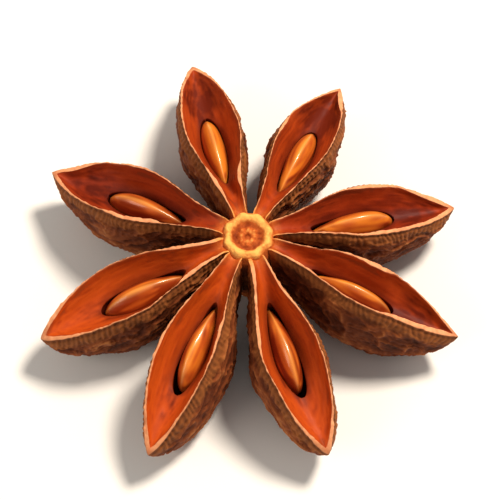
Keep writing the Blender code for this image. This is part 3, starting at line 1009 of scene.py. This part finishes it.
def seed_material(colours):
    """Hard glossy seed coat, like varnished wood: amber brown, with painted light on its upper
    side, painted shade on its lower side and a painted highlight along its keel.
    """
    material, add, masks, spots = new_material("varnished_seed_coat", SEED_MASKS, SEED_NOISE)
    high, ridge, streak, tone = masks
    blotch, fine = spots
    uneven = add("Math", (blotch, *SEED_BLOTCH_TONE), **SCALED)
    # The upper side is painted lighter and the lower side darker, as painted light and shade.
    level = add("Math", (high, HIGH_TONE, uneven), **SCALED)
    streaky = add("Math", (streak, *SEED_STREAK_TONE), **SCALED)
    level = add("Math", (level, streaky), operation="ADD")
    lighter = add("Math", (tone, 0.5), operation="SUBTRACT")
    level = add("Math", (level, lighter), **SUM)
    stops = ((0.1, colours.seed_shaded_underside), (0.5, colours.seed), (0.9, colours.seed_lit_top))
    coat = add("ValToRGB", (level,), stops=stops)
    # A painted highlight along the keel.
    share = add("Math", (ridge, KEEL_TONE), **PRODUCT)
    coat = add("Mix", {0: share, FIRST: coat, SECOND: colours.seed_keel_highlight}, **COLOURS)
    bump = add("Bump", {"Strength": 0.08, "Distance": 0.03 * MM, "Height": fine})
    inputs = {
        "Base Color": coat,
        "Roughness": 0.32,
        "Normal": bump,
        "IOR": 1.5,
        "Coat Weight": 0.4,
        "Coat Roughness": 0.12,
    }
    return finished(material, inputs)


def floor_material(colours):
    """Matt painted board, which takes soft shadows and shows no gloss."""
    board = new_material("matt_painted_board")[0]
    return finished(board, {"Base Color": colours.floor, "Roughness": 0.85})


def length_property(name, description, default):
    """A length in metres."""
    return bpy.props.FloatProperty(
        name=name, description=description, default=default, unit="LENGTH", subtype="DISTANCE"
    )


def colour_property(name, description, hex_code):
    """A linear colour from its sRGB hex value."""
    return bpy.props.FloatVectorProperty(
        name=name,
        description=description,
        default=linear(hex_code),
        subtype="COLOR",
        size=4,
        min=0.0,
        max=1.0,
    )


class StarAniseColours(bpy.types.PropertyGroup):
    """Colours of the pod and its floor."""

    # Painted shade in the hollows between the wrinkles.
    crease_shade: colour_property("Crease", "Outside, in the hollows between wrinkles", "341406")
    husk: colour_property("Husk", "Outside of the carpels", "5E2A12")
    husk_light: colour_property("Husk on ridges", "Outside, along the wrinkles", "864420")
    dust: colour_property("Husk dust", "Outside, where the wrinkles are rubbed", "AC6A3A")
    stitch: colour_property("Band under the rim", "Cross-ridges just under the rims", "A86430")
    rim: colour_property("Rim", "Split edges of the carpels", "F0AA7A")
    rim_shade: colour_property("Rim shade", "Darker stretches of the split edges", "C8784A")
    # Painted light and shade: a bright and a shaded lining, each darker at edge and floor.
    shaded_edge: colour_property("Shaded edge", "Shaded lining, at the rim", "7A2A10")
    shaded_lip: colour_property("Shaded lip", "Shaded lining, just inside the rim", "8A2A0C")
    shaded_wall: colour_property("Shaded wall", "Shaded lining, on the lip", "94300E")
    shaded_groove: colour_property("Shaded groove", "Shaded lining, low in the groove", "7A220A")
    shaded_floor: colour_property("Shaded floor", "Shaded lining, at its deepest", "561404")
    bright_edge: colour_property("Bright edge", "Bright lining, at the rim", "9A3C12")
    bright_lip: colour_property("Bright lip", "Bright lining, just inside the rim", "A83C0C")
    bright_wall: colour_property("Bright wall", "Bright lining, on the lip", "BC4A10")
    bright_groove: colour_property("Bright groove", "Bright lining, low in the groove", "B04210")
    bright_floor: colour_property("Bright floor", "Bright lining, at its deepest", "6E2006")
    # Painted shade round and under the seeds.
    pocket: colour_property("Pocket", "Round the seeds and under them", "4A1206")
    hub: colour_property("Column top", "Between the ring's lobes", "BE5C22")
    hub_light: colour_property("Ring", "Crest of the ring on the column", "FCB65C")
    hub_shade: colour_property("Column hollows", "Dimple, and where the rims meet", "86340E")
    seed: colour_property("Seed", "Body of the seeds", "B8541A")
    # Painted light above, painted shade below and a painted highlight along the keel of a seed.
    seed_lit_top: colour_property("Seed upper side", "Where a seed is thinnest", "DC7A22")
    seed_shaded_underside: colour_property("Seed lower side", "Deep in the pocket", "8A300A")
    seed_keel_highlight: colour_property("Seed keel", "Along the upper edge of the seeds", "F2A040")
    floor: colour_property("Floor", "Board under the pod", "E9E6E1")


class StarAniseSizes(bpy.types.PropertyGroup):
    """Sizes of the husk's surface and of the stage round the pod."""

    rim_thickness: length_property("Rim thickness", "Usual thickness of the rims", 0.12 * MM)
    ridge_spacing: length_property("Ridge spacing", "Between cross-ridges", 0.42 * MM)
    wrinkle_height: length_property("Wrinkle height", "From hollow to crest", 0.19 * MM)
    floor_width: length_property("Floor width", "Side of the square board", 1.2)
    view_width: length_property("View width", "How much the camera takes in across", 0.0395)
    lens: bpy.props.FloatProperty(
        name="Lens", description="Focal length", default=150.0, unit="CAMERA"
    )
    elevation: bpy.props.FloatProperty(
        name="Elevation",
        description="Angle at which the camera looks down",
        default=math.radians(66.0),
        subtype="ANGLE",
    )


def new_object(name, data):
    """An object of the scene, at the origin."""
    thing = bpy.data.objects.new(name, data)
    bpy.context.scene.collection.objects.link(thing)
    return thing


def add_piece(mesh, material, nodes):
    """Shows a mesh as a piece of the pod in place of its solids."""
    mesh.materials.append(material)
    piece = new_object(mesh.name, mesh)
    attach(piece, "root")
    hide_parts(*nodes)


def shared_material(name, make):
    """The material of this name, made the first time that it is asked for."""
    return bpy.data.materials.get(name) or make(bpy.context.scene.star_anise_colours)


class STARANISE_OT_carpels(bpy.types.Operator):
    """Adds the eight open carpels."""

    bl_idname = "star_anise.carpels"
    bl_label = "Carpels"

    def execute(self, context):
        husk = shared_material("dried_pericarp", husk_material)
        sizes = context.scene.star_anise_sizes
        for number, carpel in enumerate(CARPELS, start=1):
            add_piece(carpel_piece(carpel, number, sizes), husk, ("pod",))
        return {"FINISHED"}


class STARANISE_OT_column(bpy.types.Operator):
    """Adds the column with the ring on its top and the stub of the stalk."""

    bl_idname = "star_anise.column"
    bl_label = "Column"

    def execute(self, context):
        husk = shared_material("dried_pericarp", husk_material)
        add_piece(column_piece(), husk, ("pod",))
        return {"FINISHED"}


class STARANISE_OT_seeds(bpy.types.Operator):
    """Adds the eight seeds."""

    bl_idname = "star_anise.seeds"
    bl_label = "Seeds"

    def execute(self, context):
        coat = shared_material("varnished_seed_coat", seed_material)
        for number, carpel in enumerate(CARPELS, start=1):
            add_piece(seed_piece(carpel, number), coat, (f"seed_{number}",))
        return {"FINISHED"}


# Stage: each light's place, width, strength in watts and colour, the point that both light, the
# sky's colour and strength, and how near the camera sees.
LIGHTS = {
    "key": ((0.11, 0.08, 0.26), 0.07, 1.2, "FFF4E6"),
    "fill": ((-0.22, -0.10, 0.18), 0.22, 0.3, "FFF6EA"),
}
LIT_POINT = (0.0, 0.0, 0.006)
SKY = ("F4F2EF", 0.36)
NEAREST_SEEN = 0.01


def direction_angles(aim):
    """Euler angles that turn an object's -Z along aim with its top up."""
    flat = math.hypot(aim[0], aim[1])
    return (math.atan2(flat, -aim[2]), 0.0, math.atan2(aim[1], aim[0]) - 0.5 * math.pi)


def add_light(name, place, width, watts, colour):
    """Adds a round soft light, turned to the lit point."""
    light = bpy.data.lights.new(name, "AREA")
    light.energy = watts
    light.color = linear(colour)[:3]
    light.shape = "DISK"
    light.size = width
    lamp = new_object(name, light)
    lamp.location = place
    lamp.rotation_euler = direction_angles(np.array(LIT_POINT) - np.array(place))


class STARANISE_OT_stage(bpy.types.Operator):
    """Adds the floor, the lights and the camera."""

    bl_idname = "star_anise.stage"
    bl_label = "Stage"

    def execute(self, context):
        sizes = context.scene.star_anise_sizes
        half = 0.5 * sizes.floor_width
        mesh = bpy.data.meshes.new("floor")
        corners = [(-half, -half, 0), (half, -half, 0), (half, half, 0), (-half, half, 0)]
        mesh.from_pydata(corners, [], [(0, 1, 2, 3)])
        mesh.materials.append(floor_material(context.scene.star_anise_colours))
        floor = new_object("floor", mesh)

        for name, light in LIGHTS.items():
            add_light(name, *light)
        world = bpy.data.worlds.new("studio")
        context.scene.world = world
        world.use_nodes = True
        background = world.node_tree.nodes["Background"]
        sky_colour, sky_strength = SKY
        background.inputs["Color"].default_value = linear(sky_colour)
        background.inputs["Strength"].default_value = sky_strength
        context.scene.view_settings.view_transform = "Standard"

        low, high = (np.array(corner) for corner in CAD_BOX)
        target = 0.5 * (low + high)
        camera = bpy.data.cameras.new("camera")
        camera.lens = sizes.lens
        camera.clip_start = NEAREST_SEEN
        distance = sizes.view_width / camera.sensor_width * camera.lens
        back = np.array((0.0, -math.cos(sizes.elevation), math.sin(sizes.elevation)))
        viewpoint = new_object("camera", camera)
        viewpoint.location = target + back * distance
        viewpoint.rotation_euler = direction_angles(-back)
        context.scene.camera = viewpoint
        return {"FINISHED"}


OPERATORS = (
    STARANISE_OT_carpels,
    STARANISE_OT_column,
    STARANISE_OT_seeds,
    STARANISE_OT_stage,
)


class STARANISE_PT_parts(bpy.types.Panel):
    """Lists what the pod and its stage are built from."""

    bl_idname = "STARANISE_PT_parts"
    bl_label = "Star Anise Pod"
    bl_space_type = "VIEW_3D"
    bl_region_type = "UI"
    bl_category = "Star Anise"

    def draw(self, context):
        for operator in OPERATORS:
            self.layout.operator(operator.bl_idname)
        for group in (context.scene.star_anise_sizes, context.scene.star_anise_colours):
            box = self.layout.box()
            # The first two properties of a group are Blender's own.
            for name in group.bl_rna.properties.keys()[2:]:
                box.prop(group, name)


CLASSES = (StarAniseColours, StarAniseSizes, *OPERATORS, STARANISE_PT_parts)


def register():
    for kind in CLASSES:
        bpy.utils.register_class(kind)
    scene = bpy.types.Scene
    scene.star_anise_colours = bpy.props.PointerProperty(type=StarAniseColours)
    scene.star_anise_sizes = bpy.props.PointerProperty(type=StarAniseSizes)


def unregister():
    del bpy.types.Scene.star_anise_sizes
    del bpy.types.Scene.star_anise_colours
    for kind in reversed(CLASSES):
        bpy.utils.unregister_class(kind)


def main():
    register()
    bpy.ops.star_anise.carpels()
    bpy.ops.star_anise.column()
    bpy.ops.star_anise.seeds()
    bpy.ops.star_anise.stage()


if __name__ == "__main__":
    main()
